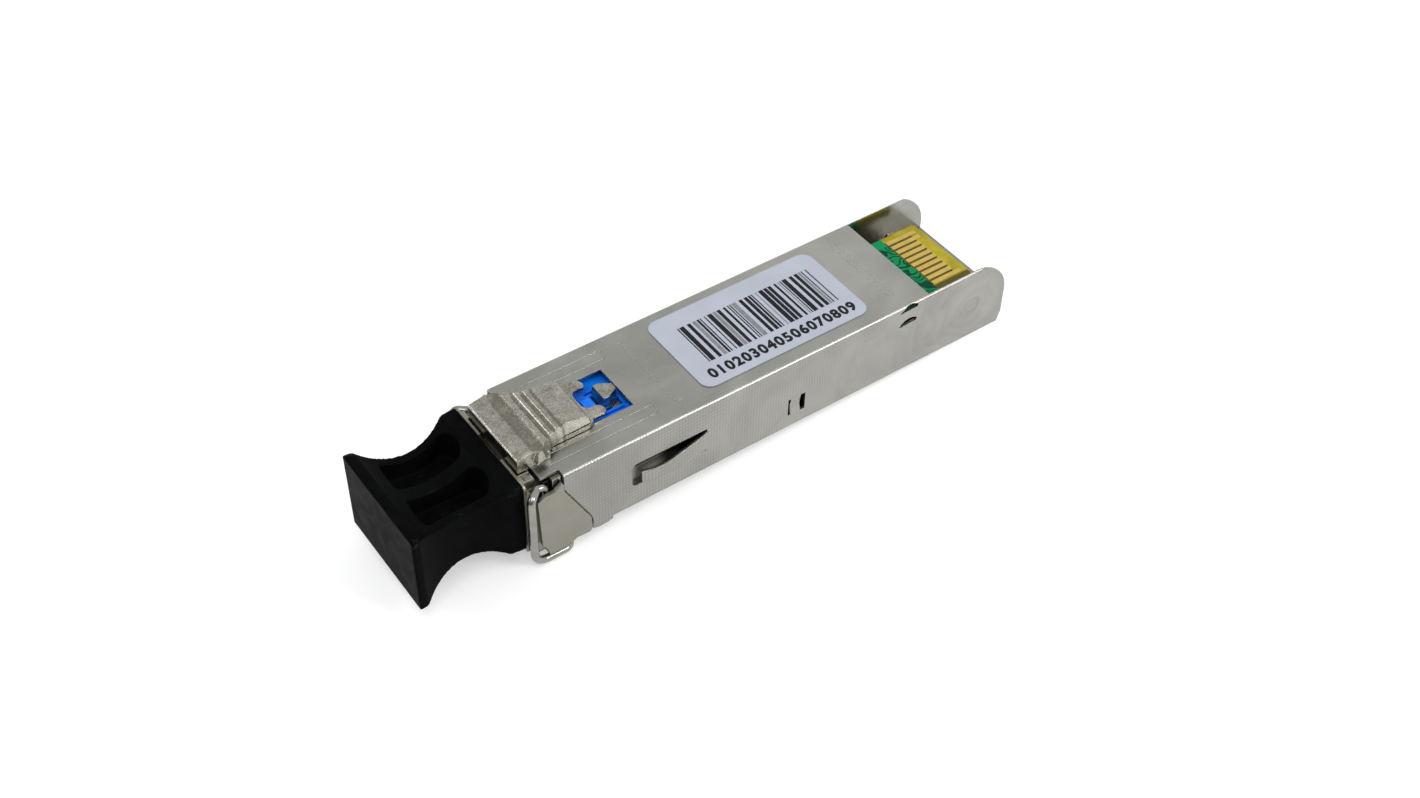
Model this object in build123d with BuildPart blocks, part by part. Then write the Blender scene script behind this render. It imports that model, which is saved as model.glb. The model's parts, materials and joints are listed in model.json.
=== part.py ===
from build123d import *
import os

# Small-form-factor pluggable optical transceiver with a bail latch and a duplex LC dust plug.
#
# Frame, in millimetres: the origin is on the centre plane and on the lower flat face, level
# with the latch shoulder. +X runs to the edge connector, +Z is the latch side, and the two
# optical ports face -X. The transmitter is on the -Y side and the receiver on the +Y side.

# ---- Driving dimensions --------------------------------------------------------------------
# Envelope of the body that enters the cage
BODY_HALF_WIDTH = 6.7
BODY_HEIGHT = 8.5
REAR_END = 45.0
SHEET = 0.3
COVER_FRONT = -9.75
TOP_REAR = 34.6

# Nose that stays outside the cage
NOSE_FRONT = -11.5
NOSE_HALF_WIDTH = 6.85
NOSE_BOTTOM = -0.85
FRAME_HALF_WIDTH = 6.0
ROOF_TOP = 7.35
STOP_FACE = -2.45

# Duplex LC ports
PORT_PITCH = 6.25
PORT_WIDTH = 4.5
PORT_HEIGHT = 4.6
OPTICAL_AXIS_Z = 4.3
PORT_BACK = -3.2
FERRULE_RADIUS = 0.625
SLEEVE_RADIUS = 0.85
SLEEVE_FRONT = -8.3
SLEEVE_REAR = -3.4
STUB_RADIUS = 0.95
BARREL_RADIUS = 1.4
BARREL_FRONT = -8.5
BARREL_REAR = 2.4
OSA_RADIUS = 2.3

# Circuit board and its edge connector
BOARD_BOTTOM = 5.25
BOARD_THICKNESS = 1.0
BOARD_FRONT = 9.5
BOARD_REAR = 42.35
BOARD_HALF_WIDTH = 5.5
EDGE_HALF_WIDTH = 4.6
EDGE_SHOULDER = 35.7
CONTACT_PITCH = 0.8
CONTACT_WIDTH = 0.52
CONTACT_COUNT = 10
CONTACT_THICKNESS = 0.05

# Bail, its pivot, and the slide that its cranks push
WIRE_RADIUS = 0.4
PIVOT_X = -9.4
PIVOT_Z = 6.35
CRANK_TOP_Z = 7.5
CRANK_Y = 5.96
RUNNING_GAP = 0.05
SLIDE_BOTTOM = 8.55
SLIDE_TOP = 9.05

# Dust plug
PLUG_REAR = -11.58
PLUG_FRONT = -22.8
POST_SIZE = 4.2
POST_END = -4.2

# Label
LABEL_LENGTH = 19.6
LABEL_WIDTH = 10.5
LABEL_CENTRE = (18.58, 0.12)
LABEL_THICKNESS = 0.1

# ---- Worked-out dimensions -----------------------------------------------------------------
BODY_INNER_HALF = BODY_HALF_WIDTH - SHEET
SHEET_UNDERSIDE = BODY_HEIGHT - SHEET
TRAY_HALF_WIDTH = BODY_INNER_HALF - RUNNING_GAP
BOARD_TOP = BOARD_BOTTOM + BOARD_THICKNESS
PORT_YS = (-PORT_PITCH / 2, PORT_PITCH / 2)
SIDES = (-1, 1)

os.makedirs("parts", exist_ok=True)


# ---- Helpers -------------------------------------------------------------------------------
def save(piece, label):
    """Label a finished piece and write its STEP file."""
    piece.part.label = label
    export_step(piece.part, f"parts/{label}.step")


def block(xs, ys, zs, mode=Mode.ADD):
    """A box between two values on each axis."""
    with Locations((sum(xs) / 2, sum(ys) / 2, sum(zs) / 2)):
        Box(xs[1] - xs[0], ys[1] - ys[0], zs[1] - zs[0], mode=mode)


def mirrored(side, inner, outer):
    """The span from inner to outer on one side of the centre plane, lowest value first."""
    return tuple(sorted((side * inner, side * outer)))


def side_prism(points, ys, mode=Mode.ADD):
    """An (x, z) outline, extruded across the width between two y values."""
    with BuildSketch(Plane.XZ.offset(-ys[1])) as outline:
        with BuildLine():
            Polyline(*points, close=True)
        make_face()
    extrude(outline.sketch, amount=ys[1] - ys[0], mode=mode)


def end_prism(points, xs, mode=Mode.ADD):
    """A (y, z) outline, extruded along the length between two x values."""
    with BuildSketch(Plane.YZ.offset(xs[0])) as outline:
        with BuildLine():
            Polyline(*points, close=True)
        make_face()
    extrude(outline.sketch, amount=xs[1] - xs[0], mode=mode)


def plan_prism(points, zs, mode=Mode.ADD):
    """An (x, y) outline, extruded upwards between two z values."""
    with BuildSketch(Plane.XY.offset(zs[0])) as outline:
        with BuildLine():
            Polyline(*points, close=True)
        make_face()
    extrude(outline.sketch, amount=zs[1] - zs[0], mode=mode)


def x_rod(x0, x1, radius, y, z, mode=Mode.ADD):
    """A round rod along X."""
    with BuildSketch(Plane.YZ.offset(x0)) as circle:
        with Locations((y, z)):
            Circle(radius)
    extrude(circle.sketch, amount=x1 - x0, mode=mode)


def y_rod(ys, radius, x, z, mode=Mode.ADD):
    """A round rod along Y."""
    with BuildSketch(Plane.XZ.offset(-ys[1])) as circle:
        with Locations((x, z)):
            Circle(radius)
    extrude(circle.sketch, amount=ys[1] - ys[0], mode=mode)


def turned(profile, y):
    """A solid turned about an optical axis, from (x, radius) points."""
    with BuildSketch(Plane((0, y, OPTICAL_AXIS_Z), x_dir=(1, 0, 0), z_dir=(0, -1, 0))) as half:
        with BuildLine():
            Polyline(*profile, close=True)
        make_face()
    revolve(half.sketch, axis=Axis((0, y, OPTICAL_AXIS_Z), (1, 0, 0)))


# ---- Die-cast chassis: nose, optical ports and board tray ----------------------------------
CHEEK_OUTLINE = (
    (-10.67, 6.70), (-9.96, 7.00), (-8.86, 7.05), (-8.05, 7.70), (-7.90, 7.45),
    (-7.90, 6.60), (-5.23, 1.50), (-5.13, 0.00), (-5.40, -0.40), (-6.81, -0.33),
    (-7.95, NOSE_BOTTOM), (-9.75, NOSE_BOTTOM), (-9.90, 0.05), (-10.45, 0.85),
)
NOSE_SECTION = (
    (-10.70, -0.35), (-9.95, -0.35), (-9.75, NOSE_BOTTOM), (-7.95, NOSE_BOTTOM),
    (-6.81, -0.33), (-3.20, -0.33), (-2.65, 0.00), (-2.60, 0.00), (-2.60, ROOF_TOP),
    (-10.70, ROOF_TOP),
)
RIM_THICKNESS = 0.25
RIM_NOTCH_HALF = 1.9
POCKET_INNER = 5.5
POCKET_OUTER = 6.42
TRAY_FLOOR = 1.0
REAR_FLOOR = 3.35
RAIL_INNER = 4.9
CRADLE_REAR = 3.2

with BuildPart() as chassis:
    # Nose block, its front frame and the thin rim that the dust plug's flange meets
    side_prism(NOSE_SECTION, (-TRAY_HALF_WIDTH, TRAY_HALF_WIDTH))
    block(
        (NOSE_FRONT + RIM_THICKNESS, -10.7),
        (-FRAME_HALF_WIDTH, FRAME_HALF_WIDTH),
        (-0.35, ROOF_TOP),
    )
    with BuildSketch(Plane.YZ.offset(NOSE_FRONT)) as rim:
        with Locations((0, (BODY_HEIGHT - 0.35) / 2)):
            RectangleRounded(2 * FRAME_HALF_WIDTH, BODY_HEIGHT + 0.35, 0.5)
    extrude(rim.sketch, amount=RIM_THICKNESS)
    block((NOSE_FRONT - 0.1, -11.25), (-RIM_NOTCH_HALF, RIM_NOTCH_HALF), (7.6, 9.0), Mode.SUBTRACT)
    # Cheeks: the flat pads that stand just proud of the sheet cover
    for side in SIDES:
        side_prism(CHEEK_OUTLINE, mirrored(side, TRAY_HALF_WIDTH - 0.1, NOSE_HALF_WIDTH))
        # Corner blocks behind the rim, with a scooped top
        ys = mirrored(side, 4.3, 5.42)
        block((-11.3, -10.1), ys, (ROOF_TOP - 0.1, 8.4))
        y_rod((min(ys) + 0.2, max(ys) - 0.2), 0.55, -10.55, 8.72, Mode.SUBTRACT)
    # Tray: floor, side rails that carry the board, and the raised floor under the edge connector
    block((-2.6, REAR_END), (-TRAY_HALF_WIDTH, TRAY_HALF_WIDTH), (0, TRAY_FLOOR))
    block((36.0, REAR_END), (-TRAY_HALF_WIDTH, TRAY_HALF_WIDTH), (0, REAR_FLOOR))
    for side in SIDES:
        block((CRADLE_REAR, 36.0), mirrored(side, RAIL_INNER, TRAY_HALF_WIDTH), (0, BOARD_BOTTOM))
        block((CRADLE_REAR, 36.0), mirrored(side, BOARD_HALF_WIDTH + 0.1, TRAY_HALF_WIDTH), (0, BOARD_TOP))
    # Cradle under the two optical subassemblies
    block((-2.6, CRADLE_REAR), (-TRAY_HALF_WIDTH, TRAY_HALF_WIDTH), (0, OPTICAL_AXIS_Z))
    for y in PORT_YS:
        x_rod(-2.6, 9.3, OSA_RADIUS + RUNNING_GAP, y, OPTICAL_AXIS_Z, Mode.SUBTRACT)
        x_rod(CRADLE_REAR, 9.3, 2.85, y, OPTICAL_AXIS_Z, Mode.SUBTRACT)
        # Port, the latch notch in its lower wall, and the hole for the barrel
        block(
            (NOSE_FRONT - 0.1, PORT_BACK),
            (y - PORT_WIDTH / 2, y + PORT_WIDTH / 2),
            (OPTICAL_AXIS_Z - PORT_HEIGHT / 2, OPTICAL_AXIS_Z + PORT_HEIGHT / 2),
            Mode.SUBTRACT,
        )
        block((NOSE_FRONT - 0.1, -8.3), (y - 1.15, y + 1.15), (0.5, 2.1), Mode.SUBTRACT)
        x_rod(PORT_BACK - 0.1, -2.5, BARREL_RADIUS + RUNNING_GAP, y, OPTICAL_AXIS_Z, Mode.SUBTRACT)
    # Pockets for the bail's cranks and the slide's lugs, with a blind bearing for each pivot
    for side in SIDES:
        block((-10.8, -7.5), mirrored(side, POCKET_INNER, POCKET_OUTER), (5.75, 9.0), Mode.SUBTRACT)
        block((-7.6, -6.1), mirrored(side, POCKET_INNER, POCKET_OUTER), (6.4, 9.0), Mode.SUBTRACT)
        y_rod(
            mirrored(side, POCKET_OUTER - 0.1, 6.74),
            WIRE_RADIUS + RUNNING_GAP, PIVOT_X, PIVOT_Z, Mode.SUBTRACT,
        )
        # Recesses that the cover's lanced tabs snap into
        block((17.2, 19.6), mirrored(side, 5.85, 7.0), (1.3, 3.8), Mode.SUBTRACT)
        block((30.5, 33.4), mirrored(side, 5.6, 7.0), (5.7, 6.6), Mode.SUBTRACT)
        block((-0.9, 8.0), mirrored(side, 6.1, 7.0), (2.3, 5.5), Mode.SUBTRACT)
save(chassis, "chassis")


# ---- Sheet-metal cover ---------------------------------------------------------------------
WINDOW_HALF = 2.8
WINDOW_REAR = 2.2
CORNER_NOTCH_Y = 5.8
GROOVE_WIDTH = 0.12
GROOVE_DEPTH = 0.03
RIB_CENTRE_X = -2.6
RIB_CENTRE_Y = 4.38
RIB_LENGTH = 12.5
RIB_WIDTH = 1.3
BEAD_CENTRE_X = 31.35
BEAD_LENGTH = 9.4
WING_RADIUS = 4.3
FINGER_ROOT = 7.8
FINGER_TIP = 0.4
OPENING_FRONT = -0.6
OPENING_LOW = 2.45
OPENING_HIGH = 5.3
BRIDGE_SLITS = ((5.95, 6.75), (7.75, 8.38))


def pressed_outline(centre, length, width, radius):
    """A fine closed line pressed into the cover's top face."""
    with BuildSketch(Plane.XY.offset(BODY_HEIGHT)) as pressed:
        with Locations(centre):
            RectangleRounded(length, width, radius)
            RectangleRounded(
                length - 2 * GROOVE_WIDTH, width - 2 * GROOVE_WIDTH, radius - GROOVE_WIDTH,
                mode=Mode.SUBTRACT,
            )
    extrude(pressed.sketch, amount=-GROOVE_DEPTH, mode=Mode.SUBTRACT)


with BuildPart() as shell:
    # Three-sided bent sheet, open below
    with BuildSketch(Plane.YZ.offset(COVER_FRONT)):
        with Locations((0, (BODY_HEIGHT - 1) / 2)):
            bent = Rectangle(2 * BODY_HALF_WIDTH, BODY_HEIGHT + 1)
        fillet(bent.vertices().group_by(Axis.Z)[-1], radius=0.45)
        with Locations((0, (SHEET_UNDERSIDE - 1.2) / 2)):
            Rectangle(2 * BODY_INNER_HALF, SHEET_UNDERSIDE + 1.2, mode=Mode.SUBTRACT)
    extrude(amount=REAR_END - COVER_FRONT)
    # Top cut away over the edge connector, leaving the two rear wings
    block((TOP_REAR, 46), (-BODY_INNER_HALF, BODY_INNER_HALF), (5, 9), Mode.SUBTRACT)
    with BuildSketch(Plane.XZ.offset(-8)) as wing_corner:
        with BuildLine():
            top = Line((REAR_END - WING_RADIUS, 9), (REAR_END - WING_RADIUS, BODY_HEIGHT))
            curve = RadiusArc(top @ 1, (REAR_END, BODY_HEIGHT - WING_RADIUS), WING_RADIUS)
            Polyline(curve @ 1, (46, BODY_HEIGHT - WING_RADIUS), (46, 9), top @ 0)
        make_face()
    extrude(wing_corner.sketch, amount=16, mode=Mode.SUBTRACT)
    # Lower edge, with a short bump beside the nose and a chamfer at the rear
    side_prism(
        (
            (-10, -1.1), (-10, -0.42), (-5.05, -0.42), (-4.2, -0.55), (-3.3, -0.5),
            (-2.85, -0.38), (-2.75, 0), (44.6, 0), (REAR_END, 1.2), (46, 1.2), (46, -1.1),
        ),
        (-8, 8), Mode.SUBTRACT,
    )
    # Slanted front edges that follow the nose's cheeks, and the notched corners above them
    for side in SIDES:
        side_prism(
            (
                (-10, -1.1), (-4.92, -1.1), (-4.92, 0.7), (-5.12, 1.5), (-7.8, 6.6),
                (-7.8, 9), (-10, 9),
            ),
            mirrored(side, CORNER_NOTCH_Y, 8), Mode.SUBTRACT,
        )
    # Latch window, and the hidden notch that the kick-out slide's neck passes through
    block((-2.6, WINDOW_REAR), (-WINDOW_HALF, WINDOW_HALF), (8, 9), Mode.SUBTRACT)
    block((-10, -6.3), (-2.4, 2.4), (8, 9), Mode.SUBTRACT)
    # Outlines of the two long pressed ribs, the hooked line and the transverse bead
    for side in SIDES:
        pressed_outline((RIB_CENTRE_X, side * RIB_CENTRE_Y), RIB_LENGTH, RIB_WIDTH, 0.5)
    pressed_outline((BEAD_CENTRE_X, 0.05), 0.7, BEAD_LENGTH, 0.3)
    with BuildSketch(Plane.XY.offset(BODY_HEIGHT)) as hooked_line:
        with BuildLine():
            FilletPolyline((5.6, 4.8), (5.6, -4.75), (6.3, -4.75), radius=0.35)
        trace(line_width=GROOVE_WIDTH)
    extrude(hooked_line.sketch, amount=-GROOVE_DEPTH, mode=Mode.SUBTRACT)
    for side in SIDES:
        wall = mirrored(side, BODY_INNER_HALF - 0.1, 8)
        # Round-cornered opening, and the bowed grounding finger in it, free at its front end
        with BuildSketch(Plane.XZ.offset(-max(wall))) as opening:
            with Locations(((FINGER_ROOT + OPENING_FRONT) / 2, (OPENING_LOW + OPENING_HIGH) / 2)):
                Rectangle(FINGER_ROOT - OPENING_FRONT, OPENING_HIGH - OPENING_LOW)
            fillet(opening.vertices().group_by(Axis.X)[0], radius=0.6)
            fillet(opening.vertices().group_by(Axis.X)[-1], radius=0.2)
        extrude(opening.sketch, amount=max(wall) - min(wall), mode=Mode.SUBTRACT)
        plan_prism(
            tuple(
                (x, side * (BODY_HALF_WIDTH + bow))
                for x, bow in (
                    (8.2, 0), (5.6, 0.3), (3.2, 0.55), (1.6, 0.5), (FINGER_TIP, 0.12),
                    (FINGER_TIP, -0.18), (1.6, 0.2), (3.2, 0.25), (5.6, 0), (8.2, -SHEET),
                )
            ),
            (2.65, 5.1),
        )
        # Its upper edge drops towards the free end, so the slit above it opens forwards
        side_prism(
            (
                (0, 5.1), (0, 4.1), (2.6, 4.1), (7.2, 4.7), (FINGER_ROOT, 4.9),
                (FINGER_ROOT, 5.1),
            ),
            mirrored(side, BODY_INNER_HALF - 0.1, 8), Mode.SUBTRACT,
        )
        # Lanced tab: its two upright slits leave a strip bowed inwards
        block((17.4, 19.45), wall, (1.5, 3.6), Mode.SUBTRACT)
        end_prism(
            tuple(
                (side * (BODY_HALF_WIDTH - dip), z)
                for dip, z in (
                    (0, 1.45), (0, 1.6), (0.15, 2.3), (0.15, 2.8), (0, 3.5), (0, 3.65),
                    (SHEET, 3.65), (0.45, 2.85), (0.45, 2.25), (SHEET, 1.45),
                )
            ),
            (17.72, 18.9),
        )
        # Two leaf-shaped slits of the lanced bridge near the rear
        for low, high in BRIDGE_SLITS:
            with BuildSketch(Plane.XZ.offset(-max(wall))) as slit:
                with BuildLine():
                    sill = Line((30.8, low), (33.0, low + 0.1))
                    end = Line(sill @ 1, (33.12, low + 0.42))
                    ThreePointArc(end @ 1, (32.0, high), sill @ 0)
                make_face()
            extrude(slit.sketch, amount=max(wall) - min(wall), mode=Mode.SUBTRACT)
        # Round dimple in the rear wing
        with Locations((40.7, side * (BODY_HALF_WIDTH + 6.45), 4.05)):
            Sphere(6.6, mode=Mode.SUBTRACT)
        y_rod(mirrored(side, BODY_INNER_HALF - 0.12, BODY_INNER_HALF + 0.1), 0.6, 40.7, 4.05)
save(shell, "shell")


# ---- Ridged latch cover, fixed over the nose -----------------------------------------------
RIDGE_XS = (-7.2, -6.35, -5.5)
RIDGE_RADIUS = 0.3

with BuildPart() as latch_cover:
    # Flared rear body with sloping flanks
    with BuildSketch(Plane.XY.offset(9.15)) as flare:
        with BuildLine():
            stop = Line((STOP_FACE, 0), (STOP_FACE, 2.8))
            corner = ThreePointArc(stop @ 1, (-2.52, 3.02), (-2.75, 3.12))
            edge = Line(corner @ 1, (-5.2, 3.2))
            curl = ThreePointArc(edge @ 1, (-6.75, 3.62), (-8.3, 4.75))
            Polyline(curl @ 1, (-9.4, 4.95), (-9.4, 0), stop @ 0)
        make_face()
        mirror(about=Plane.XZ)
    extrude(amount=1.6, taper=22)
    # Upright front part, and the side skirts that rest on the cover sheet
    block((-11.1, -9.0), (-4.25, 4.25), (8.5, 10.7))
    for side in SIDES:
        block((-9.2, -7.6), mirrored(side, 3.35, 4.25), (8.5, 9.4))
    # Long section: raised lip, dished band, plateau and the slope down to the stop face
    with BuildSketch(Plane.XZ.offset(-6)) as section:
        with BuildLine():
            front = Polyline((-11.1, 8.5), (-11.1, 9.95), (-10.95, 10.12), (-9.5, 10.4))
            dish = ThreePointArc(front @ 1, (-8.75, 10.12), (-7.95, 10.36))
            plateau = Polyline(dish @ 1, (-5.0, 10.2), (-3.2, 9.9))
            drop = ThreePointArc(plateau @ 1, (-2.7, 9.7), (STOP_FACE, 9.3))
            Polyline(drop @ 1, (STOP_FACE, 8.5), front @ 0)
        make_face()
    extrude(section.sketch, amount=12, mode=Mode.INTERSECT)
    # Three finger grooves
    for x in RIDGE_XS:
        y_rod((-5, 5), RIDGE_RADIUS, x, 10.42, Mode.SUBTRACT)
    # Leg that stands on the nose's roof, between the rim and the sheet cover
    block((-11.1, -9.95), (-4.2, 4.2), (ROOF_TOP, 9.0))
save(latch_cover, "latch_cover")


# ---- Kick-out slide, driven rearwards by the bail's cranks ---------------------------------
with BuildPart() as kickout_slide:
    # Plate and its two tines
    with BuildSketch(Plane.XY.offset(SLIDE_BOTTOM)):
        with BuildLine():
            neck = Polyline((-8.6, 0), (-8.6, 2.2), (-7.3, 2.2), (-6.9, 3.2), (-2.9, 3.2))
            shoulder = ThreePointArc(neck @ 1, (-2.35, 3.0), (-2.0, 2.55))
            outer = Line(shoulder @ 1, (-0.75, 2.55))
            tip = ThreePointArc(outer @ 1, (-0.3, 1.95), (-0.7, 1.3))
            root = Line(tip @ 1, (-1.5, 1.3))
            crotch = ThreePointArc(root @ 1, (-1.9, 1.1), (-2.1, 0.6))
            Polyline(crotch @ 1, (-2.15, 0), neck @ 0)
        make_face()
        mirror(about=Plane.XZ)
    extrude(amount=SLIDE_TOP - SLIDE_BOTTOM)
    # Ramps on the tips of the tines
    side_prism(((-1.1, SLIDE_TOP), (0, 8.65), (0, 9.3), (-1.1, 9.3)), (-3, 3), Mode.SUBTRACT)
    # Neck through the sheet cover, cross-arm below it, and the lugs that the cranks push
    block((-8.6, -7.8), (-2.2, 2.2), (7.5, SLIDE_TOP))
    block((-8.6, -7.8), (-6.3, 6.3), (7.5, 8.1))
    for side in SIDES:
        block((-8.8, -7.8), mirrored(side, 5.6, 6.3), (6.6, 8.1))
        side_prism(
            ((-8.3, 6.5), (-7.7, 6.5), (-7.7, 7.3)), mirrored(side, 5.5, 6.4), Mode.SUBTRACT
        )
save(kickout_slide, "kickout_slide")


# ---- Bail wire: a bent loop whose ends pivot in the nose -----------------------------------
BAIL_HALF_ROUTE = (
    (-7.15, 0, -1.33),
    (-7.15, 6.6, -1.33),
    (-11.2, 6.6, -1.33),
    (-11.37, 6.9, CRANK_TOP_Z),
    (-10.2, CRANK_Y, CRANK_TOP_Z),
    (PIVOT_X, CRANK_Y, CRANK_TOP_Z),
    (PIVOT_X, CRANK_Y, PIVOT_Z),
    (PIVOT_X, 6.7, PIVOT_Z),
)
BAIL_RADII = (0.9, 1.3, 0.6, 0.5, 0.5, 0.45)

with BuildPart() as bail:
    with BuildLine() as route:
        FilletPolyline(*BAIL_HALF_ROUTE, radius=BAIL_RADII)
    with BuildSketch(Plane(origin=BAIL_HALF_ROUTE[0], x_dir=(1, 0, 0), z_dir=(0, 1, 0))):
        Circle(WIRE_RADIUS)
    sweep()
    mirror(about=Plane.XZ)
save(bail, "bail")


# ---- Latch insert and boss -----------------------------------------------------------------
INSERT_TOP = 7.5
BOSS_TOP = 8.95

with BuildPart() as latch_insert:
    # Moulded saddle that holds both optical subassemblies down and carries the boss
    block((-2.5, 3.1), (-5.9, 5.9), (OPTICAL_AXIS_Z + 0.05, INSERT_TOP))
    for y in PORT_YS:
        x_rod(-2.6, 3.2, OSA_RADIUS + RUNNING_GAP, y, OPTICAL_AXIS_Z, Mode.SUBTRACT)
    # Pocket for the boss, the relief around it, and the raised pad in front of it
    block((-0.15, 2.1), (-1.2, 1.2), (6.7, 8), Mode.SUBTRACT)
    block((-1.55, -0.45), (-0.6, 0.6), (INSERT_TOP - 0.1, 8.2))
    for side in SIDES:
        block((-0.45, 2.1), mirrored(side, 1.5, 1.75), (7.0, 8), Mode.SUBTRACT)
save(latch_insert, "latch_insert")

with BuildPart() as latch_boss:
    # Foot in the insert's pocket, and the wedge-shaped boss that holds the cage's latch
    block((-0.1, 2.05), (-1.15, 1.15), (6.7, 7.2))
    with BuildSketch(Plane.XY.offset(7.2)) as boss:
        with BuildLine():
            Polyline(
                (0, -1.15), (0.75, -1.15), (1.95, -0.45), (1.95, 0.45), (0.75, 1.15), (0, 1.15),
                close=True,
            )
        make_face()
    extrude(boss.sketch, amount=BOSS_TOP - 7.2, taper=4)
save(latch_boss, "latch_boss")


# ---- Label ---------------------------------------------------------------------------------
with BuildPart() as label:
    with BuildSketch(Plane.XY.offset(BODY_HEIGHT)):
        with Locations(LABEL_CENTRE):
            RectangleRounded(LABEL_LENGTH, LABEL_WIDTH, 1.2)
    extrude(amount=LABEL_THICKNESS)
save(label, "label")


# ---- Dust plug -----------------------------------------------------------------------------
PLUG_BEND_X = -17.4
POCKET_FRONT = -20.5

with BuildPart() as dust_plug:
    # Side view: flange, waist and flared front plate
    with BuildSketch(Plane.XZ.offset(-7)) as side_view:
        with BuildLine():
            top = Line((PLUG_REAR, 8.7), (-13.3, 8.75))
            over = ThreePointArc(top @ 1, (PLUG_BEND_X, 7.2), (-21.8, 8.65))
            front = Polyline(over @ 1, (PLUG_FRONT, 8.75), (PLUG_FRONT, -0.2), (-21.8, -0.2))
            under = ThreePointArc(front @ 1, (-16.9, 1.65), (-13.3, 0.45))
            Polyline(under @ 1, (PLUG_REAR, 0.4), top @ 0)
        make_face()
    extrude(side_view.sketch, amount=14)
    # Plan view of the same waist
    with BuildSketch(Plane.XY.offset(-1)) as plan_view:
        with BuildLine():
            flank = Line((PLUG_REAR, 5.95), (-13.0, 5.85))
            waist = ThreePointArc(flank @ 1, (PLUG_BEND_X, 4.75), (-22.0, 6.25))
            Polyline(waist @ 1, (PLUG_FRONT, 6.35), (PLUG_FRONT, 0), (PLUG_REAR, 0), flank @ 0)
        make_face()
        mirror(about=Plane.XZ)
    extrude(plan_view.sketch, amount=11, mode=Mode.INTERSECT)
    # Finger pockets above and below, either side of a central rib
    with BuildSketch(Plane.XY.offset(-1)) as pockets:
        with BuildLine():
            rib = Line((-14.1, 0.8), (POCKET_FRONT, 0.8))
            nose = Line(rib @ 1, (POCKET_FRONT, 4.5))
            cheek = ThreePointArc(nose @ 1, (-17.2, 3.8), (-14.3, 4.4))
            ThreePointArc(cheek @ 1, (-13.4, 2.6), rib @ 0)
        make_face()
        fillet(pockets.vertices().group_by(Axis.X)[0], radius=0.5)
        mirror(about=Plane.XZ)
    extrude(pockets.sketch, amount=3.9, mode=Mode.SUBTRACT)
    with BuildSketch(Plane.XY.offset(5.3)) as upper_pockets:
        add(pockets.sketch.moved(Location((0, 0, 6.3))))
    extrude(upper_pockets.sketch, amount=5, mode=Mode.SUBTRACT)
    # Posts that fill the ports, bored out to clear the barrels
    for y in PORT_YS:
        half = POST_SIZE / 2
        block(
            (PLUG_REAR - 0.5, POST_END),
            (y - half, y + half),
            (OPTICAL_AXIS_Z - half, OPTICAL_AXIS_Z + half),
        )
        x_rod(
            BARREL_FRONT - 0.6, POST_END + 0.1,
            BARREL_RADIUS + 0.2, y, OPTICAL_AXIS_Z, Mode.SUBTRACT,
        )
save(dust_plug, "dust_plug")


# ---- Optical subassemblies -----------------------------------------------------------------
def receptacle_barrel(y):
    """The turned steel barrel of one subassembly: nozzle, flange, waist and body."""
    turned(
        (
            (BARREL_FRONT, 1.0), (BARREL_FRONT, 1.25), (BARREL_FRONT + 0.15, BARREL_RADIUS),
            (-2.55, BARREL_RADIUS), (-2.55, OSA_RADIUS), (-1.7, OSA_RADIUS), (-1.7, 1.7),
            (-0.9, 1.7), (-0.9, OSA_RADIUS), (BARREL_REAR, OSA_RADIUS), (BARREL_REAR, 1.6),
            (-0.4, 1.6), (-0.4, STUB_RADIUS), (SLEEVE_REAR, STUB_RADIUS),
            (SLEEVE_REAR, SLEEVE_RADIUS), (SLEEVE_FRONT, SLEEVE_RADIUS),
        ),
        y,
    )


def split_sleeve(y):
    """The ceramic sleeve that lines up a connector's ferrule."""
    x_rod(SLEEVE_FRONT, SLEEVE_REAR, SLEEVE_RADIUS, y, OPTICAL_AXIS_Z)
    x_rod(SLEEVE_FRONT - 0.1, SLEEVE_REAR + 0.1, FERRULE_RADIUS, y, OPTICAL_AXIS_Z, Mode.SUBTRACT)


def header_can(y, cap_length):
    """A metal-can package: cap, header disc and four leads."""
    front = BARREL_REAR + 1.2
    x_rod(front, front + cap_length, 2.0, y, OPTICAL_AXIS_Z)
    x_rod(front + cap_length, front + cap_length + 1.0, 2.7, y, OPTICAL_AXIS_Z)
    with BuildSketch(Plane.YZ.offset(front + cap_length + 1.0)) as leads:
        with Locations((y, OPTICAL_AXIS_Z)):
            with PolarLocations(0.9, 4, start_angle=45):
                Circle(0.22)
    extrude(leads.sketch, amount=0.2)


def ring(y):
    """The weld ring between a barrel and its can."""
    x_rod(BARREL_REAR, BARREL_REAR + 1.2, OSA_RADIUS, y, OPTICAL_AXIS_Z)
    x_rod(BARREL_REAR - 0.1, BARREL_REAR + 1.3, 1.5, y, OPTICAL_AXIS_Z, Mode.SUBTRACT)


def flex_circuit(y, back):
    """A bent flexible circuit from a can's leads to the board's top face."""
    half = 1.9
    thickness = 0.15
    block((back + 0.2, back + 0.2 + thickness), (y - half, y + half), (2.4, BOARD_TOP))
    block((back + 0.2, 12.2), (y - half, y + half), (BOARD_TOP, BOARD_TOP + thickness))


CAN_LENGTHS = {"tosa": 2.0, "rosa": 2.4}
for name, y in zip(CAN_LENGTHS, PORT_YS):
    can_back = BARREL_REAR + 1.2 + CAN_LENGTHS[name] + 1.0
    with BuildPart() as barrel:
        receptacle_barrel(y)
    save(barrel, f"{name}_barrel")
    with BuildPart() as sleeve:
        split_sleeve(y)
    save(sleeve, f"{name}_sleeve")
    with BuildPart() as weld_ring:
        ring(y)
    save(weld_ring, f"{name}_weld_ring")
    with BuildPart() as can:
        header_can(y, CAN_LENGTHS[name])
    save(can, f"{name}_can")
    with BuildPart() as flex:
        flex_circuit(y, can_back)
    save(flex, f"{name}_flex")

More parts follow.
